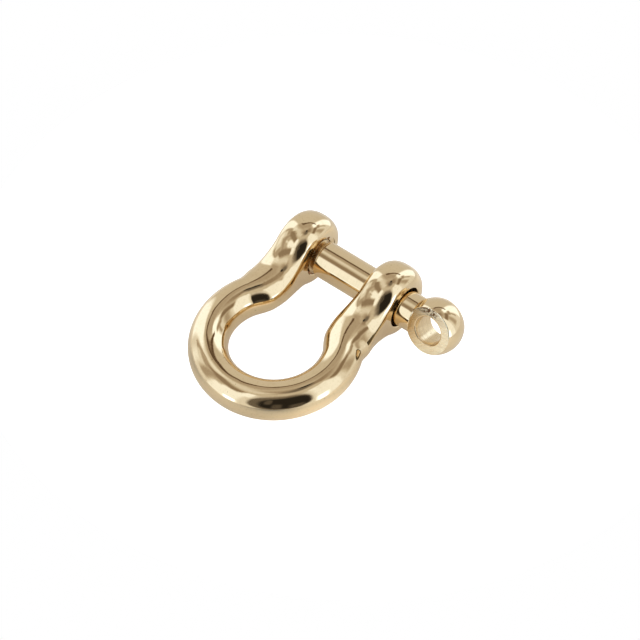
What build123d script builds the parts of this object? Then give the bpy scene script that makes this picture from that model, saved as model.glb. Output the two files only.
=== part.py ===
from build123d import *
import math
import os

# Bow shackle with a screw pin, in millimetres.
# The origin is on the pin's axis, halfway between the ears. +X runs along the pin towards its head,
# +Y points out of the open end, so the bow lies towards -Y, and the bow lies flat in the XY plane.

# Pin and ears
PIN_DIAMETER = 5.0
EAR_GAP = 8.75
EAR_THICKNESS = 5.25
EAR_DIAMETER = 10.1
EAR_ROUNDING_ALONG = 2.4
EAR_ROUNDING_ACROSS = 1.75
EAR_FILLET = 2.0

# Bow: a round bar bent to a large arc, with a gentle reverse bend into each leg. The legs are wider than
# the bar and stand a little closer together than the middles of the ears.
BAR_DIAMETER = 5.3
BOW_RADIUS = 8.8
BOW_CENTRE_Y = -14.8
LEG_BEND_RADIUS = 10.5
LEG_INSET = 0.16
LEG_WIDTH = 6.3
LEG_WIDENS_Y = -11.2
LEG_WIDEST_Y = -8.9
LEG_END_WIDTH = 5.0
LEG_FLARE_RADIUS = 6.8

# Holes in the ears
CLEARANCE_HOLE_DIAMETER = 5.7
HOLE_EDGE_BREAK = 0.15
THREAD_PITCH = 0.8
THREAD_DEPTH = 0.45
THREAD_CREST_FLAT = 0.12
THREAD_ROOT_WIDTH = 0.62
THREAD_ROOT_OVERLAP = 0.05
TAPPED_HOLE_DIAMETER = 5.06
TAPPED_HOLE_CHAMFER = 0.25

# Pin: plain shank and neck, thread at the far end, ball head with two flats and an eye
PIN_THREAD_DIAMETER = 4.9
SHANK_END_OFFSET = 0.7
SHANK_CHAMFER = 0.1
TIP_RECESS = 0.4
TIP_CHAMFER = 0.35
THREAD_LEAD = 0.7
HEAD_CENTRE_X = 14.62
HEAD_DIAMETER = 7.58
HEAD_ACROSS_FLATS = 3.7
HEAD_TURN = 23.0
NECK_OVERLAP = 0.15
EYE_DIAMETER = 3.95
EYE_CHAMFER = 0.15

# Places that follow from the sizes above
BAR_RADIUS = BAR_DIAMETER / 2
EAR_RADIUS = EAR_DIAMETER / 2
PIN_RADIUS = PIN_DIAMETER / 2
EAR_INNER_X = EAR_GAP / 2
EAR_OUTER_X = EAR_INNER_X + EAR_THICKNESS
EAR_X = EAR_INNER_X + EAR_THICKNESS / 2
BEND_CENTRE_X = EAR_X - LEG_INSET + LEG_BEND_RADIUS
BEND_CENTRE_Y = BOW_CENTRE_Y + math.sqrt((BOW_RADIUS + LEG_BEND_RADIUS) ** 2 - BEND_CENTRE_X ** 2)
BEND_ANGLE = math.degrees(math.atan2(BEND_CENTRE_Y - BOW_CENTRE_Y, BEND_CENTRE_X))
FLARE_HEIGHT = BAR_RADIUS + LEG_FLARE_RADIUS
FLARE_Y = -math.sqrt((EAR_RADIUS + LEG_FLARE_RADIUS) ** 2 - FLARE_HEIGHT ** 2)
FLARE_END_Y = FLARE_Y * EAR_RADIUS / (EAR_RADIUS + LEG_FLARE_RADIUS)
SHANK_END_X = -EAR_INNER_X + SHANK_END_OFFSET
TIP_X = -EAR_OUTER_X + TIP_RECESS
NECK_END_X = HEAD_CENTRE_X - math.sqrt((HEAD_DIAMETER / 2) ** 2 - PIN_RADIUS ** 2) + NECK_OVERLAP

# Steps along the bow's centre line where its section is drawn
BOW_STEPS = 9
BEND_STEPS = 5
LEG_STEPS = 4

# The seams of round faces are turned away from where the threads start, so that the two never coincide
SEAM_TURN = 100.0

os.makedirs("parts", exist_ok=True)


def eased(start, end, share):
    """A value that leaves start and reaches end gently as share goes from 0 to 1."""
    share = min(max(share, 0.0), 1.0)
    return start + (end - start) * share * share * (3 - 2 * share)


def half_height(y):
    """Half of the bar's height at y: the bar's own up to the leg, which flares to meet the ear's circle."""
    if y > FLARE_Y:
        return FLARE_HEIGHT - math.sqrt(LEG_FLARE_RADIUS ** 2 - (y - FLARE_Y) ** 2)
    return BAR_RADIUS


def half_width(y):
    """Half of the bar's width at y: it grows from the bar to the leg, then narrows as it runs into the ear."""
    if y > LEG_WIDEST_Y:
        return eased(LEG_WIDTH / 2, LEG_END_WIDTH / 2, (y - LEG_WIDEST_Y) / (FLARE_END_Y - LEG_WIDEST_Y))
    return eased(BAR_RADIUS, LEG_WIDTH / 2, (y - LEG_WIDENS_Y) / (LEG_WIDEST_Y - LEG_WIDENS_Y))


def half_centre_line():
    """Points and directions along half of the bow, from the crown to the ear, each as x, y and an angle."""
    stations = []
    for step in range(BOW_STEPS):
        angle = -90 + (90 + BEND_ANGLE) * step / BOW_STEPS
        turn = math.radians(angle)
        stations.append((BOW_RADIUS * math.cos(turn), BOW_CENTRE_Y + BOW_RADIUS * math.sin(turn), angle))
    for step in range(BEND_STEPS):
        angle = BEND_ANGLE * (1 - step / BEND_STEPS)
        turn = math.radians(angle)
        x = BEND_CENTRE_X - LEG_BEND_RADIUS * math.cos(turn)
        y = BEND_CENTRE_Y - LEG_BEND_RADIUS * math.sin(turn)
        stations.append((x, y, angle))
    for step in range(LEG_STEPS):
        share = step / (LEG_STEPS - 1)
        y = BEND_CENTRE_Y + (FLARE_END_Y - BEND_CENTRE_Y) * share
        stations.append((EAR_X - eased(LEG_INSET, 0, share), y, 0.0))
    return stations


def bar_section(x, y, angle):
    """The bar's oval section at one point, square to the centre line. The angle is that of its outer side."""
    outward = (math.cos(math.radians(angle)), math.sin(math.radians(angle)), 0)
    along = (outward[1], -outward[0], 0)
    return Plane(origin=(x, y, 0), x_dir=outward, z_dir=along) * Ellipse(half_width(y), half_height(y))


def bow_bar():
    """The bent bar from ear to ear, as one smooth skin."""
    half = half_centre_line()
    other_half = [(-x, y, 180 - angle) for x, y, angle in half[1:]]
    return loft([bar_section(*station) for station in reversed(half)]
                + [bar_section(*station) for station in other_half])


def ear(side):
    """A round ear with two flat faces and a rounded rim, at +X or -X."""
    flat_radius = EAR_RADIUS - EAR_ROUNDING_ACROSS
    half_rim = EAR_THICKNESS / 2 - EAR_ROUNDING_ALONG
    half_thickness = EAR_THICKNESS / 2
    rounding = (EAR_ROUNDING_ALONG, EAR_ROUNDING_ACROSS)
    outline = Polyline((half_rim, EAR_RADIUS), (-half_rim, EAR_RADIUS))
    outline += EllipticalCenterArc((-half_rim, flat_radius), *rounding, 90, arc_size=90)
    outline += Polyline((-half_thickness, flat_radius), (-half_thickness, 0), (half_thickness, 0),
                        (half_thickness, flat_radius))
    outline += EllipticalCenterArc((half_rim, flat_radius), *rounding, 0, arc_size=90)
    return Pos(side * EAR_X, 0, 0) * revolve(make_face(outline), Axis.X)


def along_x(start, end, radius, end_radius=None):
    """A cylinder or cone about the pin's axis from x = start to x = end."""
    if end_radius is None:
        shape = Cylinder(radius, end - start)
    else:
        shape = Cone(radius, end_radius, end - start)
    return Pos((start + end) / 2, 0, 0) * Rot(SEAM_TURN, 0, 0) * Rot(0, 90, 0) * shape


def thread_ridge(start, end, root_radius, crest_radius):
    """A right-hand helical ridge about the pin's axis, a little sunk into the root it stands on."""
    sunk_radius = root_radius - THREAD_ROOT_OVERLAP
    helix = Helix(THREAD_PITCH, end - start, sunk_radius, direction=(1, 0, 0), center=(start, 0, 0))
    height = crest_radius - sunk_radius
    profile_plane = Plane(origin=helix @ 0, x_dir=(helix @ 0) - Vector(start, 0, 0), z_dir=helix % 0)
    half_root = THREAD_ROOT_WIDTH / 2
    half_crest = THREAD_CREST_FLAT / 2
    profile = profile_plane * make_face(Polyline((0, -half_root), (height, -half_crest),
                                                 (height, half_crest), (0, half_root), close=True))
    return sweep(profile, path=helix, is_frenet=True)


def clearance_hole():
    """The space of the plain hole at +X, with its edges broken."""
    radius = CLEARANCE_HOLE_DIAMETER / 2
    wide = radius + HOLE_EDGE_BREAK
    hole = along_x(EAR_INNER_X - HOLE_EDGE_BREAK, EAR_OUTER_X + HOLE_EDGE_BREAK, radius)
    hole += along_x(EAR_INNER_X, EAR_INNER_X + HOLE_EDGE_BREAK, wide, radius)
    return hole + along_x(EAR_OUTER_X - HOLE_EDGE_BREAK, EAR_OUTER_X, radius, wide)


def tapped_hole():
    """The space of the threaded hole at -X, with both mouths chamfered."""
    radius = TAPPED_HOLE_DIAMETER / 2
    mouth = radius + TAPPED_HOLE_CHAMFER
    start = -EAR_OUTER_X - THREAD_PITCH
    end = -EAR_INNER_X + THREAD_PITCH
    hole = along_x(start, end, radius) + thread_ridge(start, end, radius, radius + THREAD_DEPTH)
    hole += along_x(-EAR_INNER_X - TAPPED_HOLE_CHAMFER, -EAR_INNER_X, radius, mouth)
    return hole + along_x(-EAR_OUTER_X, -EAR_OUTER_X + TAPPED_HOLE_CHAMFER, mouth, radius)


def shackle_body():
    """The bow with its ears, the clearance hole at +X and the tapped hole at -X."""
    pieces = [bow_bar(), ear(1), ear(-1)]
    body = pieces[0] + pieces[1] + pieces[2]
    body = fillet(new_edges(*pieces, combined=body), EAR_FILLET)
    return body - clearance_hole() - tapped_hole()


def screw_pin():
    """The pin: thread, shank, neck and ball head in one piece."""
    thread_radius = PIN_THREAD_DIAMETER / 2
    root_radius = thread_radius - THREAD_DEPTH
    core = along_x(TIP_X + TIP_CHAMFER, SHANK_END_X, root_radius)
    core += along_x(TIP_X, TIP_X + TIP_CHAMFER, root_radius - TIP_CHAMFER, root_radius)
    thread = core + thread_ridge(TIP_X + THREAD_LEAD, SHANK_END_X, root_radius, thread_radius)
    shank = along_x(SHANK_END_X + SHANK_CHAMFER, NECK_END_X, PIN_RADIUS)
    shank += along_x(SHANK_END_X, SHANK_END_X + SHANK_CHAMFER, PIN_RADIUS - SHANK_CHAMFER, PIN_RADIUS)
    return thread + shank + pin_head()


def pin_head():
    """The ball head with its two flats and the eye through them, turned about the pin's axis."""
    head = Sphere(HEAD_DIAMETER / 2) & Box(HEAD_DIAMETER, HEAD_ACROSS_FLATS, HEAD_DIAMETER)
    eye_radius = EYE_DIAMETER / 2
    head -= Rot(90, 0, 0) * Cylinder(eye_radius, HEAD_DIAMETER)
    chamfer_cone = Cone(eye_radius, eye_radius + EYE_CHAMFER, EYE_CHAMFER)
    chamfer_place = Pos(0, 0, HEAD_ACROSS_FLATS / 2 - EYE_CHAMFER / 2)
    head -= Rot(90, 0, 0) * chamfer_place * chamfer_cone
    head -= Rot(-90, 0, 0) * chamfer_place * chamfer_cone
    return Pos(HEAD_CENTRE_X, 0, 0) * Rot(-HEAD_TURN, 0, 0) * head


export_step(shackle_body(), "parts/shackle_body.step")
export_step(screw_pin(), "parts/screw_pin.step")
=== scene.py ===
import math

import bmesh
import bpy
import numpy as np
from mathutils import Matrix, Vector


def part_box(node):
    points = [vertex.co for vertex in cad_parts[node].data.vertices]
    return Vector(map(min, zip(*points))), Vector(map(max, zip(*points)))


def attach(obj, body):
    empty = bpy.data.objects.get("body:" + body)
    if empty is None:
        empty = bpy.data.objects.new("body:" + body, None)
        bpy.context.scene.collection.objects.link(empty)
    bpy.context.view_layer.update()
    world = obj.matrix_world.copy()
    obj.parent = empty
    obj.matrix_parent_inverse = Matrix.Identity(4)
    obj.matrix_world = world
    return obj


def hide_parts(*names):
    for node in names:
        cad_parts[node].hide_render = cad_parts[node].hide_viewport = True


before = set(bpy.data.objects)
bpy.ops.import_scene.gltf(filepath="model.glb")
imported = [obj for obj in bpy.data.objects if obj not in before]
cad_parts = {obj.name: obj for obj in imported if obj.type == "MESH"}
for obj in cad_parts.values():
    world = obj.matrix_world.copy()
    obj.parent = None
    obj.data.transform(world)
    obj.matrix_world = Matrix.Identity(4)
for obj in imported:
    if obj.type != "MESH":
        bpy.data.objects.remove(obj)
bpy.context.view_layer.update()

# Sizes here are in millimetres, in the frame's axes. Meshes are scaled to metres as they are made.
MM = 0.001
_, body_high = (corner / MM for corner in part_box("shackle_body"))
pin_low, _ = (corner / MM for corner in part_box("screw_pin"))

# Ears, on the pin's axis
EAR_RADIUS = body_high.y
EAR_GAP = 8.75
EAR_THICKNESS = 5.25
EAR_X = (EAR_GAP + EAR_THICKNESS) / 2
EAR_INNER_X = EAR_GAP / 2
EAR_OUTER_X = EAR_INNER_X + EAR_THICKNESS
EAR_ROUNDING_ALONG = 2.62
EAR_ROUNDING_ACROSS = 1.93
EAR_SQUARENESS = 2.25

# Bow: a large arc, a reverse bend and a leg on each side. The legs are wider than the bar, and stand a
# little closer together than the middles of the ears.
BAR_RADIUS = 2.65
BOW_RADIUS = 8.8
BOW_CENTRE_Y = -14.8
BEND_RADIUS = 10.5
LEG_INSET = 0.16
LEG_HALF_WIDTH = 3.15
LEG_WIDENS_Y = -11.2
LEG_WIDEST_Y = -8.9
LEG_ENDS_Y = -1.8
EAR_SHAPE_STARTS_Y = -10.0
EAR_SHAPE_ENDS_Y = -4.15
FLARE_RADIUS = 6.8
BEND_CENTRE_X = EAR_X - LEG_INSET + BEND_RADIUS
BEND_CENTRE_Y = BOW_CENTRE_Y + math.sqrt((BOW_RADIUS + BEND_RADIUS) ** 2 - BEND_CENTRE_X ** 2)
FLARE_CENTRE_Z = BAR_RADIUS + FLARE_RADIUS
FLARE_Y = -math.sqrt((EAR_RADIUS + FLARE_RADIUS) ** 2 - FLARE_CENTRE_Z ** 2)

# Holes
CLEARANCE_HOLE_RADIUS = 2.85
CLEARANCE_EDGE_ROUND = 0.22
TAPPED_HOLE_RADIUS = 2.53
TAPPED_HOLE_MOUTH = 0.25
EDGE_ARC_SINE = 0.94
PLUG_RADIUS = 3.3
PLUG_INSET = 0.1
THREAD_PITCH = 0.8
THREAD_DEPTH = 0.45
THREAD_CREST_FLAT = 0.12
THREAD_ROOT_FLAT = 0.18

# Pin
PIN_RADIUS = 2.5
PIN_THREAD_RADIUS = 2.45
SHANK_END_X = 0.7 - EAR_INNER_X
SHANK_CHAMFER = 0.12
TIP_X = pin_low.x
TIP_STEP = 0.1
TIP_ENVELOPE = 0.3
HEAD_CENTRE_X = 14.62
HEAD_RADIUS = 3.79
HEAD_HALF_FLATS = 1.85
HEAD_EDGE_ROUND = 0.12
HEAD_TURN = math.radians(23.0)
EYE_RADIUS = 1.975
EYE_EDGE_ROUND = 0.16
NECK_END_X = HEAD_CENTRE_X - math.sqrt(HEAD_RADIUS ** 2 - PIN_RADIUS ** 2) + 0.15
NECK_EDGE_ROUND = 0.1

# How finely surfaces are divided
ROUGH_STEP = 0.28
ROUND_STEPS = 160
PLUG_SEGMENTS = 64
BALL_STEPS = 40
FLAT_STEPS = 12
EDGE_STEPS = 5
NECK_EDGE_STEPS = 4
SHANK_ROWS = 24
SLOPE_STEP = 1e-3
SMOOTHING_ROUNDS = 12
SHARP_ANGLE = math.radians(17)
FOLLOWS_SKIN_ANGLE = math.radians(12)
ON_SKIN = 2e-4
# How far a cutting solid runs on past the surface that it cuts
THREAD_OVERRUN = 2.0
MOUTH_OVERRUN = 0.5
EDGE_OVERRUN = 0.1


def eased(start, end, share):
    """A value that leaves start and reaches end gently as share goes from 0 to 1."""
    share = np.clip(share, 0, 1)
    return start + (end - start) * share * share * (3 - 2 * share)


def outline_distance(y, z):
    """Distance outside the side view's outline of leg and ear: straight leg, flare arc, ear circle."""
    z = np.abs(z)
    flare = FLARE_RADIUS - np.hypot(y - FLARE_Y, z - FLARE_CENTRE_Z)
    beyond_flare = y * FLARE_CENTRE_Z > FLARE_Y * z
    return np.where(y < FLARE_Y, z - BAR_RADIUS, np.where(beyond_flare, np.hypot(y, z) - EAR_RADIUS, flare))


def across_and_station(x, y):
    """Signed distance across the bar from its centre line in plan, and the centre line's y at that place."""
    x = np.abs(x)
    from_bow = np.hypot(x, y - BOW_CENTRE_Y)
    bow_station = BOW_CENTRE_Y + (y - BOW_CENTRE_Y) * BOW_RADIUS / from_bow
    from_bend = np.hypot(BEND_CENTRE_X - x, BEND_CENTRE_Y - y)
    bend_station = BEND_CENTRE_Y - (BEND_CENTRE_Y - y) * BEND_RADIUS / from_bend
    on_bow = (y - BOW_CENTRE_Y) * BEND_CENTRE_X < x * (BEND_CENTRE_Y - BOW_CENTRE_Y)
    on_leg = (y > BEND_CENTRE_Y) & ~on_bow
    leg_x = EAR_X - eased(LEG_INSET, 0, (y - BEND_CENTRE_Y) / (LEG_ENDS_Y - BEND_CENTRE_Y))
    across = np.where(on_bow, from_bow - BOW_RADIUS, np.where(on_leg, x - leg_x, BEND_RADIUS - from_bend))
    station = np.where(on_bow, bow_station, np.where(on_leg, y, bend_station))
    return across, station


def body_field(points):
    """Negative inside the shackle body, zero on its skin, before the holes are cut."""
    across, station = across_and_station(points[:, 0], points[:, 1])
    outside = outline_distance(station, points[:, 2])
    full_depth = -outline_distance(station, np.zeros(len(points)))
    ear_share = eased(0, 1, (station - EAR_SHAPE_STARTS_Y) / (EAR_SHAPE_ENDS_Y - EAR_SHAPE_STARTS_Y))
    leg_width = eased(BAR_RADIUS, LEG_HALF_WIDTH, (station - LEG_WIDENS_Y) / (LEG_WIDEST_Y - LEG_WIDENS_Y))
    narrowing = (station - LEG_WIDEST_Y) / (LEG_ENDS_Y - LEG_WIDEST_Y)
    half_width = eased(leg_width, EAR_THICKNESS / 2, narrowing)
    rounding_along = half_width - (EAR_THICKNESS / 2 - EAR_ROUNDING_ALONG) * ear_share
    rounding_across = full_depth + (EAR_ROUNDING_ACROSS - full_depth) * ear_share
    power = 2 + (EAR_SQUARENESS - 2) * ear_share
    along_part = np.maximum((np.abs(across) - half_width + rounding_along) / rounding_along, 0)
    across_part = np.maximum((outside + rounding_across) / rounding_across, 0)
    return (along_part ** power + across_part ** power) ** (1 / power) - 1


def slope_of(field, points):
    """The field's slope at each point."""
    slope = np.empty_like(points)
    for axis in range(3):
        step = np.zeros(3)
        step[axis] = SLOPE_STEP
        slope[:, axis] = (field(points + step) - field(points - step)) / (2 * SLOPE_STEP)
    return slope


def onto_skin(field, points, rounds=4):
    """Moves points straight onto the field's zero surface."""
    for _ in range(rounds):
        slope = slope_of(field, points)
        points = points - slope * (field(points) / (slope ** 2).sum(1))[:, None]
    return points


def new_piece(name, mesh):
    """An object for a mesh, linked to the scene."""
    piece = bpy.data.objects.new(name, mesh)
    bpy.context.scene.collection.objects.link(piece)
    return piece


def mesh_from(name, points, faces):
    """A mesh from points in millimetres."""
    mesh = bpy.data.meshes.new(name)
    mesh.from_pydata((np.asarray(points, float) * MM).tolist(), [], faces)
    made = bmesh.new()
    made.from_mesh(mesh)
    bmesh.ops.recalc_face_normals(made, faces=made.faces)
    made.to_mesh(mesh)
    made.free()
    return mesh


def settled(piece):
    """Applies a piece's modifiers."""
    graph = bpy.context.evaluated_depsgraph_get()
    mesh = bpy.data.meshes.new_from_object(piece.evaluated_get(graph))
    piece.modifiers.clear()
    piece.data = mesh
    return piece


def cut(piece, other, operation):
    """Joins, cuts or intersects a piece with another one, which is used up."""
    modifier = piece.modifiers.new("cut", "BOOLEAN")
    modifier.object = other
    modifier.operation = operation
    modifier.solver = "MANIFOLD"
    settled(piece)
    bpy.data.objects.remove(other)
    return piece


def points_of(mesh):
    """The mesh's points in millimetres."""
    points = np.empty(len(mesh.vertices) * 3, np.float32)
    mesh.vertices.foreach_get("co", points)
    return points.reshape(-1, 3).astype(float) / MM


def set_points(mesh, points):
    """Moves the mesh's points to places in millimetres."""
    mesh.vertices.foreach_set("co", (points * MM).astype(np.float32).ravel())
    mesh.update()


def relaxed(mesh, points, rounds):
    """Evens out the points' spacing along the skin."""
    edges = np.empty(len(mesh.edges) * 2, np.int32)
    mesh.edges.foreach_get("vertices", edges)
    edges = edges.reshape(-1, 2)
    count = np.bincount(edges.ravel(), minlength=len(points))[:, None]
    for _ in range(rounds):
        total = np.zeros_like(points)
        np.add.at(total, edges[:, 0], points[edges[:, 1]])
        np.add.at(total, edges[:, 1], points[edges[:, 0]])
        points = onto_skin(body_field, (points + total / count) / 2, 1)
    return points


def turned_solid(name, profile, steps=ROUND_STEPS, closed=False):
    """A solid turned about X from profile points (x, radius). A closed profile makes a ring."""
    angles = np.arange(steps) * 2 * math.pi / steps
    profile = np.asarray(profile, float)
    count = len(profile)
    points = np.empty((steps, count, 3))
    points[:, :, 0] = profile[:, 0]
    points[:, :, 1] = profile[:, 1] * np.cos(angles)[:, None]
    points[:, :, 2] = profile[:, 1] * np.sin(angles)[:, None]
    faces = []
    for step in range(steps):
        after = (step + 1) % steps
        for row in range(count if closed else count - 1):
            next_row = (row + 1) % count
            here = step * count
            there = after * count
            faces.append((here + row, here + next_row, there + next_row, there + row))
    points = points.reshape(-1, 3)
    if not closed:
        faces.append([step * count for step in range(steps)])
        faces.append([step * count + count - 1 for step in range(steps)])
    return new_piece(name, mesh_from(name, points, faces))


def arc(centre, radius, start, end, steps=6):
    """Points along an arc in (x, radius), with angles in degrees from the x direction."""
    angles = np.radians(np.linspace(start, end, steps + 1))
    return [(centre[0] + radius * math.cos(a), centre[1] + radius * math.sin(a)) for a in angles]


def thread_solid(name, start, end, root_radius, crest_radius):
    """A long solid with a right-hand thread, whose edges follow the helix."""
    half_pitch = THREAD_PITCH / 2
    turn_profile = [(-half_pitch + THREAD_ROOT_FLAT / 2, root_radius), (-THREAD_CREST_FLAT / 2, crest_radius),
                    (THREAD_CREST_FLAT / 2, crest_radius), (half_pitch - THREAD_ROOT_FLAT / 2, root_radius)]
    turns = math.ceil((end - start) / THREAD_PITCH)
    per_turn = len(turn_profile)
    rows = per_turn * turns
    points = []
    for step in range(ROUND_STEPS):
        angle = 2 * math.pi * step / ROUND_STEPS
        for row in range(rows + per_turn):
            offset, radius = turn_profile[row % per_turn]
            x = start + THREAD_PITCH * (row // per_turn + step / ROUND_STEPS) + offset
            points.append((x, radius * math.cos(angle), radius * math.sin(angle)))
    count = rows + per_turn
    faces = []
    for step in range(ROUND_STEPS - 1):
        for row in range(rows - 1):
            here = step * count + row
            faces.append((here, here + 1, here + count + 1, here + count))
    last = (ROUND_STEPS - 1) * count
    for row in range(rows - 1):
        faces.append((last + row, last + row + 1, per_turn + row + 1, per_turn + row))
    low_loop = [step * count for step in range(ROUND_STEPS)] + list(range(per_turn, 0, -1))
    high_loop = [step * count + rows - 1 for step in range(ROUND_STEPS)]
    high_loop += list(range(rows - 1 + per_turn, rows - 1, -1))
    low_centre = len(points)
    points.append((start - half_pitch, 0, 0))
    high_centre = len(points)
    points.append((start + THREAD_PITCH * turns, 0, 0))
    for loop, centre in ((low_loop, low_centre), (high_loop, high_centre)):
        for here, after in zip(loop, loop[1:] + loop[:1]):
            faces.append((here, after, centre))
    used = sorted({corner for face in faces for corner in face})
    place = {corner: index for index, corner in enumerate(used)}
    faces = [[place[corner] for corner in face] for face in faces]
    return new_piece(name, mesh_from(name, [points[corner] for corner in used], faces))


def finished(piece, field=None):
    """Smooth shading, with real edges kept sharp and the skin's own normals where a field gives them."""
    mesh = piece.data
    mesh.materials.clear()
    mesh.shade_smooth()
    mesh.set_sharp_from_angle(angle=SHARP_ANGLE)
    if field is None:
        return piece
    points = points_of(mesh)
    slope = slope_of(field, points)
    slope /= np.maximum(np.linalg.norm(slope, axis=1), SLOPE_STEP)[:, None]
    on_skin = np.abs(field(points)) < ON_SKIN
    corners = np.empty(len(mesh.loops), np.int32)
    mesh.loops.foreach_get("vertex_index", corners)
    normals = np.empty(len(mesh.loops) * 3, np.float32)
    mesh.corner_normals.foreach_get("vector", normals)
    normals = normals.reshape(-1, 3)
    face_normals = np.empty(len(mesh.polygons) * 3, np.float32)
    mesh.polygons.foreach_get("normal", face_normals)
    totals = np.empty(len(mesh.polygons), np.int32)
    mesh.polygons.foreach_get("loop_total", totals)
    of_face = np.repeat(face_normals.reshape(-1, 3), totals, axis=0)
    wanted = slope[corners]
    follows = on_skin[corners] & ((of_face * wanted).sum(1) > math.cos(FOLLOWS_SKIN_ANGLE))
    normals[follows] = wanted[follows]
    mesh.normals_split_custom_set(normals.tolist())
    return piece


def bow_skin():
    """The body's skin without holes: the CAD body, plugged, made even and laid on the field's surface."""
    made = bmesh.new()
    made.from_mesh(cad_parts["shackle_body"].data)
    for side in (-1, 1):
        place = Matrix.Translation(Vector((side * EAR_X, 0, 0)) * MM) @ Matrix.Rotation(math.pi / 2, 4, "Y")
        bmesh.ops.create_cone(made, cap_ends=True, segments=PLUG_SEGMENTS, radius1=PLUG_RADIUS * MM,
                              radius2=PLUG_RADIUS * MM, depth=(EAR_THICKNESS - PLUG_INSET) * MM, matrix=place)
    mesh = bpy.data.meshes.new("shackle_bow")
    made.to_mesh(mesh)
    made.free()
    piece = new_piece("shackle_bow", mesh)
    remesh = piece.modifiers.new("even", "REMESH")
    remesh.mode = "VOXEL"
    remesh.voxel_size = ROUGH_STEP * MM
    settled(piece)
    points = onto_skin(body_field, points_of(piece.data))
    points = relaxed(piece.data, points, SMOOTHING_ROUNDS)
    set_points(piece.data, onto_skin(body_field, points))
    finer = piece.modifiers.new("finer", "SUBSURF")
    finer.levels = 1
    settled(piece)
    set_points(piece.data, onto_skin(body_field, points_of(piece.data)))
    return piece


def clearance_hole():
    """The space of the plain hole, with softly broken edges."""
    leave = math.degrees(math.asin(EDGE_ARC_SINE))
    inset = EDGE_ARC_SINE * CLEARANCE_EDGE_ROUND
    centre_radius = CLEARANCE_HOLE_RADIUS + CLEARANCE_EDGE_ROUND
    high_arc = arc((EAR_OUTER_X - inset, centre_radius), CLEARANCE_EDGE_ROUND, -90, -90 + leave)
    low_arc = arc((EAR_INNER_X + inset, centre_radius), CLEARANCE_EDGE_ROUND, -90 - leave, -90)
    slope = math.tan(math.radians(leave))
    first = (low_arc[0][0] - EDGE_OVERRUN, low_arc[0][1] + EDGE_OVERRUN * slope)
    last = (high_arc[-1][0] + EDGE_OVERRUN, high_arc[-1][1] + EDGE_OVERRUN * slope)
    return turned_solid("clearance_hole", [first] + low_arc + high_arc + [last])


def tapped_hole():
    """The space of the threaded hole, with chamfered mouths."""
    hole = thread_solid("tapped_hole", -EAR_OUTER_X - THREAD_OVERRUN, -EAR_INNER_X + THREAD_OVERRUN,
                        TAPPED_HOLE_RADIUS, TAPPED_HOLE_RADIUS + THREAD_DEPTH)
    wide = TAPPED_HOLE_RADIUS + TAPPED_HOLE_MOUTH + MOUTH_OVERRUN
    narrow = TAPPED_HOLE_RADIUS - MOUTH_OVERRUN
    inner = [(-EAR_INNER_X - TAPPED_HOLE_MOUTH - MOUTH_OVERRUN, narrow), (-EAR_INNER_X + MOUTH_OVERRUN, wide)]
    outer = [(-EAR_OUTER_X - MOUTH_OVERRUN, wide), (-EAR_OUTER_X + TAPPED_HOLE_MOUTH + MOUTH_OVERRUN, narrow)]
    cut(hole, turned_solid("inner_mouth", inner), "UNION")
    return cut(hole, turned_solid("outer_mouth", outer), "UNION")


def shackle_bow():
    """The bow: its skin with the plain and the threaded hole cut."""
    piece = bow_skin()
    cut(piece, clearance_hole(), "DIFFERENCE")
    cut(piece, tapped_hole(), "DIFFERENCE")
    return finished(piece, body_field)


def pin_head():
    """The ball head with two flats and its eye: a ring turned about the eye's own axis."""
    flat = HEAD_HALF_FLATS
    rim = HEAD_EDGE_ROUND
    ball_edge = math.degrees(math.asin((flat - rim) / (HEAD_RADIUS - rim)))
    rim_centre = (flat - rim, math.sqrt((HEAD_RADIUS - rim) ** 2 - (flat - rim) ** 2))
    outer = arc((0, 0), HEAD_RADIUS, 90 + ball_edge, 90 - ball_edge, BALL_STEPS)
    outer_high = arc(rim_centre, rim, 90 - ball_edge, 0, EDGE_STEPS)[1:]
    outer_low = [(-x, r) for x, r in reversed(outer_high)]
    mouth_radius = EYE_RADIUS + EYE_EDGE_ROUND
    eye_high = arc((flat - EYE_EDGE_ROUND, mouth_radius), EYE_EDGE_ROUND, 0, -90, EDGE_STEPS)
    eye_low = [(-x, r) for x, r in reversed(eye_high)]
    inward = mouth_radius - rim_centre[1]
    flat_high = [(flat, rim_centre[1] + inward * k / FLAT_STEPS) for k in range(1, FLAT_STEPS)]
    flat_low = [(-x, r) for x, r in reversed(flat_high)]
    profile = outer_low + outer + outer_high + flat_high + eye_high + eye_low + flat_low
    head = turned_solid("head", profile, closed=True)
    place = Matrix.Translation((HEAD_CENTRE_X * MM, 0, 0)) @ Matrix.Rotation(-HEAD_TURN, 4, "X")
    head.data.transform(place @ Matrix.Rotation(math.pi / 2, 4, "Z"))
    return head


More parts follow.
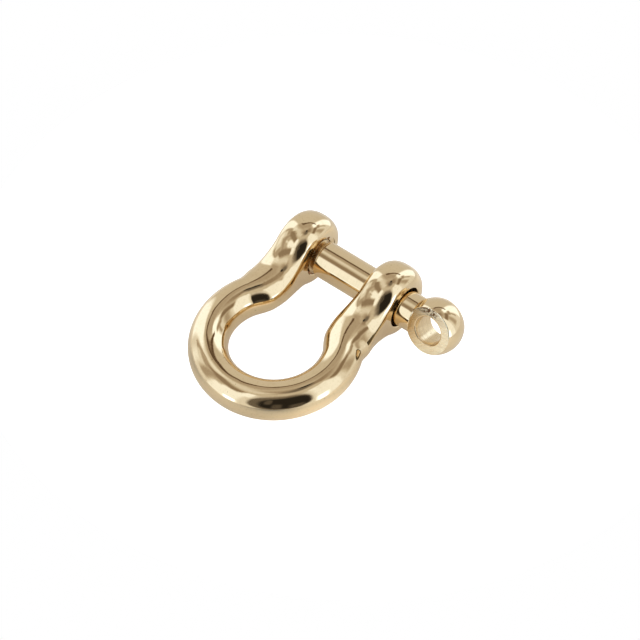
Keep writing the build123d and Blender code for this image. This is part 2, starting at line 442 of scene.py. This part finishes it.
def screw_pin():
    """The pin: a thread cut to length with a chamfered tip, joined to the shank and the head."""
    thread = thread_solid("turned_pin", TIP_X - THREAD_OVERRUN, SHANK_END_X + THREAD_OVERRUN,
                          PIN_THREAD_RADIUS - THREAD_DEPTH, PIN_THREAD_RADIUS)
    tip = PIN_THREAD_RADIUS - THREAD_DEPTH - TIP_STEP
    reach = PIN_THREAD_RADIUS + TIP_ENVELOPE
    envelope = [(TIP_X, tip), (TIP_X + reach - tip, reach), (SHANK_END_X + MOUTH_OVERRUN, reach)]
    cut(thread, turned_solid("envelope", envelope), "INTERSECT")
    shank = [(SHANK_END_X, PIN_RADIUS - SHANK_CHAMFER), (SHANK_END_X + SHANK_CHAMFER, PIN_RADIUS)]
    shank += [(x, PIN_RADIUS) for x in np.linspace(SHANK_END_X, NECK_END_X, SHANK_ROWS)[1:-1]]
    neck_edge = (NECK_END_X - NECK_EDGE_ROUND, PIN_RADIUS - NECK_EDGE_ROUND)
    shank += arc(neck_edge, NECK_EDGE_ROUND, 90, 0, NECK_EDGE_STEPS)
    cut(thread, turned_solid("shank", shank), "UNION")
    cut(thread, pin_head(), "UNION")
    return finished(thread)


def direction(azimuth, elevation):
    """The direction from the object towards a viewer at that azimuth and elevation, in degrees."""
    a = math.radians(azimuth)
    e = math.radians(elevation)
    return Vector((math.sin(a) * math.cos(e), -math.cos(a) * math.cos(e), math.sin(e)))


# The camera, in degrees and millimetres
CAMERA_AZIMUTH = 40.5
CAMERA_ELEVATION = 52.0
CAMERA_ROLL = -2.85
CAMERA_DISTANCE = 500.0
CAMERA_FIELD = 83.8
AIM_RIGHT = -3.53
AIM_UP = -6.21
SENSOR_WIDTH = 36.0
# Nearest and furthest distance that the camera sees, in metres
CLIP_NEAR = 0.01
CLIP_FAR = 20.0


def make_camera():
    """A long-lens camera at the photograph's viewing angle."""
    data = bpy.data.cameras.new("camera")
    camera = bpy.data.objects.new("camera", data)
    bpy.context.scene.collection.objects.link(camera)
    bpy.context.scene.camera = camera
    back = direction(CAMERA_AZIMUTH, CAMERA_ELEVATION)
    level_right = Vector((-back.y, back.x, 0)).normalized()
    level_up = back.cross(level_right)
    roll = math.radians(CAMERA_ROLL)
    right = level_right * math.cos(roll) + level_up * math.sin(roll)
    up = level_up * math.cos(roll) - level_right * math.sin(roll)
    place = back * CAMERA_DISTANCE
    towards = (place - right * AIM_RIGHT - up * AIM_UP).normalized()
    right = up.cross(towards).normalized()
    up = towards.cross(right)
    camera.matrix_world = Matrix.Translation(place * MM) @ Matrix((right, up, towards)).transposed().to_4x4()
    data.sensor_width = SENSOR_WIDTH
    data.lens = data.sensor_width * CAMERA_DISTANCE / CAMERA_FIELD
    data.clip_start = CLIP_NEAR
    data.clip_end = CLIP_FAR


class Graph:
    """Adds nodes to a material's or world's tree. A value may be a number or another node's output."""

    def __init__(self, owner):
        owner.use_nodes = True
        self.tree = owner.node_tree
        self.tree.nodes.clear()

    def feed(self, socket, value):
        """Links a node's output to a socket, or sets the socket's own value."""
        if isinstance(value, bpy.types.NodeSocket):
            self.tree.links.new(value, socket)
        else:
            socket.default_value = value

    def add(self, kind, inputs=None, **settings):
        """A new node with its settings and inputs."""
        node = self.tree.nodes.new(kind)
        for key, value in settings.items():
            setattr(node, key, value)
        for key, value in (inputs or {}).items():
            self.feed(node.inputs[key], value)
        return node

    def math(self, operation, *values):
        """The result of an operation on numbers."""
        return self.add("ShaderNodeMath", dict(enumerate(values)), operation=operation).outputs[0]

    def dot(self, one, other):
        """The dot product of two vectors."""
        node = self.add("ShaderNodeVectorMath", {0: one, 1: other}, operation="DOT_PRODUCT")
        return node.outputs["Value"]

    def parts(self, vector):
        """The three parts of a vector."""
        return self.add("ShaderNodeSeparateXYZ", {0: vector}).outputs

    def joined(self, x, y, z):
        """A vector from its parts."""
        return self.add("ShaderNodeCombineXYZ", {0: x, 1: y, 2: z}).outputs[0]

    def noise(self, place, size, detail=2.0):
        """Smooth noise from 0 to 1 with features of that size in millimetres. A single number gives bands."""
        inputs = {"Scale": 1 / (size * MM), "Detail": detail}
        if place.type == "VECTOR":
            return self.add("ShaderNodeTexNoise", {**inputs, "Vector": place}).outputs[0]
        return self.add("ShaderNodeTexNoise", {**inputs, "W": place}, noise_dimensions="1D").outputs[0]

    def bumped(self, height, depth, before=None):
        """A normal tilted by a height from 0 to 1 that stands for a depth in millimetres."""
        node = self.add("ShaderNodeBump", {"Height": height, "Distance": depth * MM, "Strength": 1.0})
        if before is not None:
            self.feed(node.inputs["Normal"], before)
        return node.outputs[0]

    def rise(self, value, start, end, low=0.0, high=1.0):
        """Goes smoothly from low to high as the value goes from start to end."""
        inputs = {"Value": value, "From Min": start, "From Max": end, "To Min": low, "To Max": high}
        return self.add("ShaderNodeMapRange", inputs, interpolation_type="SMOOTHSTEP").outputs[0]

    def blend(self, one, other, share):
        """A number between one and other."""
        return self.add("ShaderNodeMix", {"Factor": share, "A": one, "B": other}).outputs[0]

    def tint(self, one, other, share):
        """A colour between one and other."""
        return self.add("ShaderNodeMix", {0: share, 6: one, 7: other}, data_type="RGBA").outputs[2]


# Reflection colours of the metal: the light gold, its duller patches (also painted shade by the head's neck
# and in the holes), the lathe's lines, the milled flats' lighter gold (painted light), the specks (also the
# darker tone of painted shade in the holes), the mottled brown near the flats' top edge, and the two tones of
# painted shade on the tapped hole's thread
GOLD = (0.82, 0.63, 0.37)
DULL_AND_SHADED_GOLD = (0.72, 0.535, 0.295)
LINE_GOLD = (0.62, 0.45, 0.24)
MILLED_GOLD_PAINTED_LIGHT = (0.98, 0.84, 0.56)
SPECK_AND_SHADE_BROWN = (0.50, 0.34, 0.17)
FLAT_TOP_BROWN = (0.22, 0.12, 0.055)
THREAD_SHADE_RED = (0.55, 0.29, 0.12)
THREAD_SHADE_BROWN = (0.34, 0.16, 0.065)

# The centre of the arcs that the cutter left on the flats, from the head's middle
CUTTER_ACROSS = 9.0
CUTTER_ALONG = 5.0


def metal_graph(name):
    """A new material's graph, and the place on the piece in its own axes."""
    material = bpy.data.materials.new(name)
    graph = Graph(material)
    return material, graph, graph.add("ShaderNodeTexCoord").outputs["Object"]


def finish_metal(graph, colour, roughness, normal):
    """Wires up a metal shader."""
    inputs = {"Base Color": colour, "Metallic": 1.0, "Roughness": roughness, "Normal": normal}
    shader = graph.add("ShaderNodeBsdfPrincipled", inputs)
    graph.add("ShaderNodeOutputMaterial", {"Surface": shader.outputs[0]})


def solid(colour):
    """A colour with no transparency."""
    return (*colour, 1)


def along_bar(graph, place):
    """The place as seen from the bent bar: out from the bow's centre, up, and along the bar."""
    x, y, z = graph.parts(place)
    past = graph.math("SUBTRACT", y, BOW_CENTRE_Y * MM)
    below = graph.math("MINIMUM", past, 0.0)
    square = graph.math("ADD", graph.math("MULTIPLY", x, x), graph.math("MULTIPLY", below, below))
    out = graph.math("SQRT", square)
    turn = graph.math("ARCTAN2", x, graph.math("MULTIPLY", below, -1.0))
    leg = graph.math("MULTIPLY", graph.math("SIGN", x), graph.math("MAXIMUM", past, 0.0))
    along = graph.math("MULTIPLY_ADD", turn, BOW_RADIUS * MM, leg)
    return out, z, along


def polished_gold():
    """Hand-polished bar: a mirror with slow ripples drawn out along the bar, fine grain and hairlines."""
    material, graph, place = metal_graph("polished_gold")
    out, up, along = along_bar(graph, place)
    drawn = graph.joined(out, up, graph.math("MULTIPLY", along, 0.18))
    scratched = graph.joined(out, up, graph.math("MULTIPLY", along, 0.03))
    patches = graph.noise(place, 2.6, 3.0)
    grain = graph.noise(place, 0.34, 3.0)
    specks = graph.rise(graph.noise(place, 0.5, 1.0), 0.72, 0.8)
    hairs = graph.rise(graph.noise(scratched, 0.12, 1.0), 0.66, 0.76)
    colour = graph.tint(solid(GOLD), solid(DULL_AND_SHADED_GOLD), graph.rise(patches, 0.45, 0.75, 0.0, 0.45))
    colour = graph.tint(colour, solid(DULL_AND_SHADED_GOLD), graph.rise(grain, 0.5, 0.75, 0.0, 0.5))
    colour = graph.tint(colour, solid(SPECK_AND_SHADE_BROWN), graph.math("MULTIPLY", specks, 0.6))
    roughness = graph.rise(patches, 0.3, 0.7, 0.035, 0.075)
    roughness = graph.math("MULTIPLY_ADD", hairs, 0.09, roughness)
    normal = graph.bumped(graph.noise(place, 3.2, 1.0), 0.035)
    normal = graph.bumped(graph.noise(drawn, 1.1, 2.0), 0.014, normal)
    normal = graph.bumped(grain, 0.0012, normal)
    normal = graph.bumped(hairs, 0.0006, normal)
    finish_metal(graph, colour, roughness, normal)
    return material


def turned_gold():
    """Turned on a lathe: fine rings about the pin's axis under a polish."""
    material, graph, place = metal_graph("turned_gold")
    x = graph.parts(place)[0]
    wander = graph.math("MULTIPLY_ADD", graph.noise(place, 2.5, 1.0), 0.03 * MM, x)
    fine = graph.noise(wander, 0.22, 2.0)
    broad = graph.noise(x, 0.7, 2.0)
    patches = graph.noise(place, 1.8, 3.0)
    grain = graph.noise(place, 0.3, 2.0)
    colour = graph.tint(solid(GOLD), solid(DULL_AND_SHADED_GOLD), graph.rise(patches, 0.45, 0.75, 0.0, 0.4))
    colour = graph.tint(colour, solid(LINE_GOLD), graph.rise(fine, 0.5, 0.65, 0.0, 0.1))
    colour = graph.tint(colour, solid(DULL_AND_SHADED_GOLD), graph.rise(grain, 0.55, 0.8, 0.0, 0.35))
    roughness = graph.rise(broad, 0.3, 0.7, 0.035, 0.07)
    normal = graph.bumped(graph.noise(place, 2.8, 1.0), 0.012)
    normal = graph.bumped(fine, 0.001, normal)
    normal = graph.bumped(grain, 0.0003, normal)
    finish_metal(graph, colour, roughness, normal)
    return material


def head_axes():
    """The eye's axis, and the direction across it in the plane square to the pin."""
    eye = Vector((0, -math.cos(HEAD_TURN), math.sin(HEAD_TURN)))
    return eye, Vector((1, 0, 0)).cross(eye)


def milled_gold():
    """The head's flats: shallow arcs left by a cutter, a lighter gold as painted light, painted shade by the
    neck, mottled brown at the top.
    """
    material, graph, place = metal_graph("milled_gold")
    _, across = head_axes()
    cutter = Vector((HEAD_CENTRE_X, 0, 0)) + across * CUTTER_ACROSS + Vector((CUTTER_ALONG, 0, 0))
    apart = graph.add("ShaderNodeVectorMath", {0: place, 1: cutter * MM}, operation="DISTANCE")
    from_cutter = apart.outputs["Value"]
    arcs = graph.noise(from_cutter, 0.2, 2.0)
    grain = graph.noise(place, 0.26, 3.0)
    patches = graph.noise(place, 1.3, 2.0)
    # The flats' lighter gold is painted light, standing in for the brighter light that they reflect.
    colour = graph.tint(solid(MILLED_GOLD_PAINTED_LIGHT), solid(GOLD), graph.rise(patches, 0.45, 0.75, 0.0, 0.4))
    colour = graph.tint(colour, solid(GOLD), graph.rise(arcs, 0.5, 0.65, 0.0, 0.35))
    from_head = graph.math("SUBTRACT", graph.parts(place)[0], HEAD_CENTRE_X * MM)
    # Painted shade: the flats turn darker towards the neck.
    neck_painted_shade = graph.rise(from_head, -0.6 * MM, -3.0 * MM)
    colour = graph.tint(colour, solid(DULL_AND_SHADED_GOLD), neck_painted_shade)
    # Mottled brown in a band near the flats' top edge.
    towards_top = graph.dot(place, -across)
    band = graph.rise(towards_top, 2.0 * MM, 2.5 * MM)
    top_mottle = graph.math("MULTIPLY", graph.rise(grain, 0.42, 0.52), band)
    top_mottle = graph.math("MULTIPLY", top_mottle, graph.rise(from_head, 1.0 * MM, 0.3 * MM))
    colour = graph.tint(colour, solid(FLAT_TOP_BROWN), top_mottle)
    roughness = graph.rise(arcs, 0.35, 0.7, 0.27, 0.35)
    normal = graph.bumped(arcs, 0.006)
    normal = graph.bumped(grain, 0.004, normal)
    finish_metal(graph, colour, roughness, normal)
    return material


def drilled_gold():
    """The eye's bore: rings about its own axis."""
    material, graph, place = metal_graph("drilled_gold")
    eye, _ = head_axes()
    depth = graph.dot(place, eye)
    rings = graph.noise(depth, 0.22, 2.0)
    grain = graph.noise(place, 0.35, 2.0)
    colour = graph.tint(solid(GOLD), solid(DULL_AND_SHADED_GOLD), graph.rise(rings, 0.45, 0.7, 0.0, 0.6))
    colour = graph.tint(colour, solid(SPECK_AND_SHADE_BROWN), graph.rise(grain, 0.62, 0.78, 0.0, 0.5))
    normal = graph.bumped(rings, 0.006)
    normal = graph.bumped(grain, 0.003, normal)
    finish_metal(graph, colour, graph.rise(rings, 0.3, 0.7, 0.2, 0.3), normal)
    return material


def cut_metal(name, light, dark_tone):
    """Threads and bare holes: rougher metal, coloured darker and browner than the polished gold as painted
    shade in these recesses.
    """
    material, graph, place = metal_graph(name)
    grain = graph.noise(place, 0.25, 3.0)
    patches = graph.noise(place, 0.9, 2.0)
    colour = graph.tint(solid(light), solid(dark_tone), graph.rise(patches, 0.4, 0.6))
    colour = graph.tint(colour, solid(dark_tone), graph.rise(grain, 0.5, 0.75, 0.0, 0.8))
    finish_metal(graph, colour, graph.rise(grain, 0.3, 0.7, 0.2, 0.34), graph.bumped(grain, 0.008))
    return material


def paint(piece, material, chosen=None):
    """Gives a material to the whole piece, or to the faces whose middle in millimetres is chosen."""
    mesh = piece.data
    mesh.materials.append(material)
    if chosen is None:
        return
    middles = np.empty(len(mesh.polygons) * 3, np.float32)
    mesh.polygons.foreach_get("center", middles)
    middles = middles.reshape(-1, 3).astype(float) / MM
    indexes = np.empty(len(mesh.polygons), np.int32)
    mesh.polygons.foreach_get("material_index", indexes)
    indexes[chosen(middles)] = len(mesh.materials) - 1
    mesh.polygons.foreach_set("material_index", indexes)


# How near a face's middle is to a surface that it counts as on, in millimetres
NEAR_WALL = 0.05
NEAR_FACE = 0.01
NEAR_MOUTH = 0.005


def in_tapped_hole(points):
    """Inside the threaded hole, past its chamfered mouths."""
    from_middle = np.abs(points[:, 0] + EAR_X)
    within = from_middle < EAR_THICKNESS / 2 - TAPPED_HOLE_MOUTH
    return within & (np.hypot(points[:, 1], points[:, 2]) < TAPPED_HOLE_RADIUS + THREAD_DEPTH + NEAR_WALL)


def in_clearance_hole(points):
    """On the plain hole's wall, short of its rounded edges."""
    beside = np.abs(points[:, 0] - EAR_X) < EAR_THICKNESS / 2 - CLEARANCE_EDGE_ROUND
    return beside & (np.hypot(points[:, 1], points[:, 2]) < CLEARANCE_HOLE_RADIUS + NEAR_WALL)


def on_pin_thread(points):
    """On the pin's thread, short of the shank and of the tip's end face."""
    return (points[:, 0] < SHANK_END_X - NEAR_FACE) & (points[:, 0] > TIP_X + NEAR_FACE)


def on_flats(points):
    """On the head's two flats. The shank and neck reach as far out, so they are ruled out by x."""
    eye, _ = head_axes()
    on_head = points[:, 0] > NECK_END_X
    return on_head & (np.abs(points @ np.array(eye)) > HEAD_HALF_FLATS - NEAR_FACE)


def in_eye(points):
    """On the eye's bore, with its rounded mouths."""
    eye, _ = head_axes()
    from_centre = points - np.array((HEAD_CENTRE_X, 0, 0))
    beside = from_centre - (from_centre @ np.array(eye))[:, None] * np.array(eye)
    return np.linalg.norm(beside, axis=1) < EYE_RADIUS + EYE_EDGE_ROUND - NEAR_MOUTH


# The light tent round the object, in degrees of azimuth and of elevation above the floor. Its panels and
# openings were placed one by one, so that the polished metal reflects light and shade as the real one does.
TENT_WALL = 0.9
TENT_CEILING = 0.68
TENT_TOP = 0.42
TENT_EDGE = 60.0
TENT_EDGE_SOFT = 5.0
TENT_TOP_STARTS = 72.0
TENT_TOP_ENDS = 88.0
# Light brighter than neutral is cooler and dimmer light is warmer: the powers that green and blue follow
NEUTRAL_LIGHT = 0.7
GREEN_IN_SHADE = 0.22
GREEN_IN_LIGHT = 0.25
BLUE_IN_SHADE = 0.45
BLUE_IN_LIGHT = 0.6
# Each panel of cloth or lamp: azimuth of its middle, half its width, its lowest and highest elevation,
# how many degrees it climbs per degree of azimuth, the softness of its edges, and its brightness
TENT_PANELS = (
    (-142.0, 30.0, -90.0, 50.0, 0.0, 3.5, 0.71),
    (-142.0, 34.0, 52.0, 74.0, 0.0, 8.0, 0.5),
    (154.0, 28.0, 66.0, 90.0, 0.0, 10.0, 0.36),
    (-55.0, 42.0, 64.0, 78.0, 0.15, 6.0, 0.85),
    (-102.0, 12.0, -90.0, 51.0, 0.0, 3.0, 1.3),
    (-88.0, 9.0, 50.0, 64.0, 0.0, 4.0, 1.0),
    (-74.0, 6.0, -12.0, 22.0, 0.0, 4.0, 1.1),
    (-72.0, 10.0, 35.0, 52.0, 0.0, 4.0, 0.5),
    (-84.0, 3.0, 22.0, 50.0, 0.0, 2.0, 0.5),
    (-25.0, 19.0, -90.0, 47.0, 0.0, 3.0, 1.17),
    (-54.0, 8.0, 8.0, 58.0, 0.0, 5.0, 0.48),
    (-43.0, 7.0, 34.0, 52.0, 0.0, 4.0, 0.6),
    (-45.0, 27.0, 47.0, 62.0, 0.0, 4.0, 0.33),
    (-8.0, 8.0, 42.0, 62.0, 0.0, 3.5, 1.2),
    (-15.0, 7.0, -20.0, 3.0, 0.0, 3.0, 2.2),
    (99.0, 17.0, -90.0, 64.0, 0.0, 3.0, 1.14),
    (90.0, 6.0, -12.0, 14.0, 0.0, 4.0, 2.0),
    (136.0, 20.0, 44.0, 60.0, 0.0, 5.0, 0.28),
    (134.0, 8.0, 8.0, 44.0, 0.0, 6.0, 0.5),
    (174.0, 12.0, -90.0, 58.0, 0.0, 3.0, 1.35),
    (158.0, 9.0, 35.0, 46.0, 0.0, 3.5, 0.42),
    (156.0, 2.5, 12.0, 38.0, 0.0, 1.5, 0.5),
    (-155.0, 29.0, 49.0, 53.5, 0.2, 1.2, 0.12),
)
# Dark openings with rounded corners: azimuth and elevation of the middle, half width, half height,
# softness, brightness
TENT_OPENINGS = (
    (40.0, 42.0, 33.0, 24.0, 0.25, 0.26),
    (40.5, 25.0, 37.0, 34.0, 0.08, 0.17),
    (46.0, 25.0, 29.5, 28.0, 0.12, 0.025),
    (37.0, 10.0, 5.0, 12.0, 0.4, 0.1),
    (59.0, 6.0, 8.0, 9.0, 0.4, 0.1),
    (26.0, 34.0, 4.0, 12.0, 0.4, 0.11),
)
# Dark spots at the tent's top: azimuth, elevation, radius, softness in degrees, brightness
TENT_SPOTS = (
    (110.0, 85.0, 7.0, 4.0, 0.2),
    (175.0, 82.0, 3.2, 1.2, 0.02),
)
OPENING_TINT = (1.0, 0.92, 0.86)
CORNER_POWER = 3.0

FLOOR_RADIUS = 50.0
FLOOR_SEGMENTS = 96
FLOOR_COLOUR = (0.78, 0.77, 0.75, 1)
FLOOR_GLOW = 0.24
FLOOR_WHITENING = 1.0
# Pools of light and shade on the floor: azimuth, distance from the middle and radius, and brightness added
FLOOR_POOLS = (
    (-76.0, 42.0, 28.0, 0.3),
    (66.0, 34.0, 28.0, 0.22),
    (30.0, 21.0, 11.0, 0.32),
    (22.0, 46.0, 22.0, -0.5),
    (-7.0, 52.0, 15.0, 0.55),
    (-30.0, 33.0, 12.0, -0.25),
    (156.0, 24.0, 20.0, 0.18),
)


def floor_axes():
    """The floor's up, and the directions along X and away from the bow's crown in its plane."""
    crown_y = BOW_CENTRE_Y - BOW_RADIUS
    lean = math.atan2(EAR_RADIUS - BAR_RADIUS, -crown_y)
    up = Vector((0, math.sin(lean), math.cos(lean)))
    along = Vector((1, 0, 0))
    return along, up.cross(along), up


def dark(brightness):
    """The dark opening's slightly warm tone at a brightness."""
    return (*(brightness * tint for tint in OPENING_TINT), 1)


def make_world():
    """A light tent: pale cloth walls with brighter lamps behind them, and the dark opening for the viewer."""
    world = bpy.data.worlds.new("light_tent")
    bpy.context.scene.world = world
    graph = Graph(world)
    towards = graph.add("ShaderNodeTexCoord").outputs["Generated"]
    along, away, up = floor_axes()
    nearer = graph.math("MULTIPLY", graph.dot(towards, away), -1.0)
    azimuth = graph.math("DEGREES", graph.math("ARCTAN2", graph.dot(towards, along), nearer))
    elevation = graph.math("DEGREES", graph.math("ARCSINE", graph.dot(towards, up)))
    ceiling_starts = TENT_EDGE - TENT_EDGE_SOFT
    light = graph.rise(elevation, ceiling_starts, TENT_EDGE + TENT_EDGE_SOFT, TENT_WALL, TENT_CEILING)
    light = graph.blend(light, TENT_TOP, graph.rise(elevation, TENT_TOP_STARTS, TENT_TOP_ENDS))
    for middle, half_width, lowest, highest, climb, soft, brightness in TENT_PANELS:
        aside = graph.math("WRAP", graph.math("SUBTRACT", azimuth, middle), 180.0, -180.0)
        height = graph.math("SUBTRACT", elevation, graph.math("MULTIPLY", aside, climb))
        share = graph.rise(graph.math("ABSOLUTE", aside), half_width + soft, half_width - soft)
        share = graph.math("MULTIPLY", share, graph.rise(height, lowest - soft, lowest + soft))
        share = graph.math("MULTIPLY", share, graph.rise(height, highest + soft, highest - soft))
        light = graph.blend(light, brightness, share)
    warmth = graph.math("DIVIDE", light, NEUTRAL_LIGHT)
    in_shade = graph.math("POWER", warmth, GREEN_IN_SHADE)
    green = graph.math("MAXIMUM", in_shade, graph.math("POWER", warmth, GREEN_IN_LIGHT))
    green = graph.math("MULTIPLY", light, green)
    in_shade = graph.math("POWER", warmth, BLUE_IN_SHADE)
    blue = graph.math("MAXIMUM", in_shade, graph.math("POWER", warmth, BLUE_IN_LIGHT))
    blue = graph.math("MULTIPLY", light, blue)
    colour = graph.add("ShaderNodeCombineColor", {"Red": light, "Green": green, "Blue": blue}).outputs[0]
    for middle, level, half_width, half_height, soft, brightness in TENT_OPENINGS:
        aside = graph.math("WRAP", graph.math("SUBTRACT", azimuth, middle), 180.0, -180.0)
        aside = graph.math("DIVIDE", graph.math("ABSOLUTE", aside), half_width)
        aside = graph.math("POWER", aside, CORNER_POWER)
        height = graph.math("ABSOLUTE", graph.math("SUBTRACT", elevation, level))
        height = graph.math("POWER", graph.math("DIVIDE", height, half_height), CORNER_POWER)
        reach = graph.math("POWER", graph.math("ADD", aside, height), 1 / CORNER_POWER)
        colour = graph.tint(colour, dark(brightness), graph.rise(reach, 1 + soft, 1 - soft))
    for spot_azimuth, spot_elevation, radius, soft, brightness in TENT_SPOTS:
        turned = direction(spot_azimuth, spot_elevation)
        middle = along * turned.x + away * turned.y + up * turned.z
        apart = graph.math("DEGREES", graph.math("ARCCOSINE", graph.dot(towards, middle)))
        colour = graph.tint(colour, dark(brightness), graph.rise(apart, radius + soft, radius - soft))
    seen = graph.add("ShaderNodeLightPath").outputs["Is Camera Ray"]
    shown = graph.tint(colour, (1, 1, 1, 1), seen)
    background = graph.add("ShaderNodeBackground", {"Color": shown, "Strength": 1.0})
    graph.add("ShaderNodeOutputWorld", {"Surface": background.outputs[0]})


def make_floor():
    """A pale floor, touching both ears and the bow's crown. From below it lets the view through.

    The camera sees it plain white. The metal reflects its pools of light and shade.
    """
    along, away, up = floor_axes()
    made = bmesh.new()
    bmesh.ops.create_circle(made, cap_ends=True, segments=FLOOR_SEGMENTS, radius=FLOOR_RADIUS * MM)
    mesh = bpy.data.meshes.new("floor")
    made.to_mesh(mesh)
    made.free()
    floor = new_piece("floor", mesh)
    turn = Matrix((along, away, up)).transposed().to_4x4()
    floor.matrix_world = Matrix.Translation(-up * EAR_RADIUS * MM) @ turn
    material = bpy.data.materials.new("pale_floor")
    graph = Graph(material)
    paper = graph.add("ShaderNodeBsdfDiffuse", {"Color": FLOOR_COLOUR})
    seen = graph.add("ShaderNodeLightPath").outputs["Is Camera Ray"]
    strength = graph.math("ADD", graph.math("MULTIPLY", seen, FLOOR_WHITENING), FLOOR_GLOW)
    place = graph.add("ShaderNodeTexCoord").outputs["Object"]
    for azimuth, distance, radius, added in FLOOR_POOLS:
        middle = direction(azimuth, 0) * distance * MM
        apart = graph.add("ShaderNodeVectorMath", {0: place, 1: middle}, operation="DISTANCE")
        pool = graph.rise(apart.outputs["Value"], radius * MM, 0.0, 0.0, added)
        strength = graph.math("ADD", strength, pool)
    glow = graph.add("ShaderNodeEmission", {"Color": (1, 1, 1, 1), "Strength": strength})
    lit = graph.add("ShaderNodeAddShader", {0: paper.outputs[0], 1: glow.outputs[0]})
    below = graph.add("ShaderNodeNewGeometry").outputs["Backfacing"]
    clear = graph.add("ShaderNodeBsdfTransparent")
    shown = graph.add("ShaderNodeMixShader", {0: below, 1: lit.outputs[0], 2: clear.outputs[0]})
    graph.add("ShaderNodeOutputMaterial", {"Surface": shown.outputs[0]})
    floor.data.materials.append(material)


bow = shackle_bow()
paint(bow, polished_gold())
# Painted shade: the tapped hole's thread is coloured a dark red-brown.
paint(bow, cut_metal("shaded_hole_thread", THREAD_SHADE_RED, THREAD_SHADE_BROWN), in_tapped_hole)
# Painted shade: the plain hole's wall is coloured a duller gold with brown.
paint(bow, cut_metal("bare_hole", DULL_AND_SHADED_GOLD, SPECK_AND_SHADE_BROWN), in_clearance_hole)
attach(bow, "bow")
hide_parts("shackle_body")

pin = screw_pin()
paint(pin, turned_gold())
paint(pin, milled_gold(), on_flats)
paint(pin, drilled_gold(), in_eye)
# Painted shade: the pin's thread is coloured a duller gold with brown.
paint(pin, cut_metal("shaded_pin_thread", DULL_AND_SHADED_GOLD, SPECK_AND_SHADE_BROWN), on_pin_thread)
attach(pin, "pin")
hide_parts("screw_pin")

make_camera()
make_floor()
make_world()
bpy.context.scene.view_settings.view_transform = "Standard"
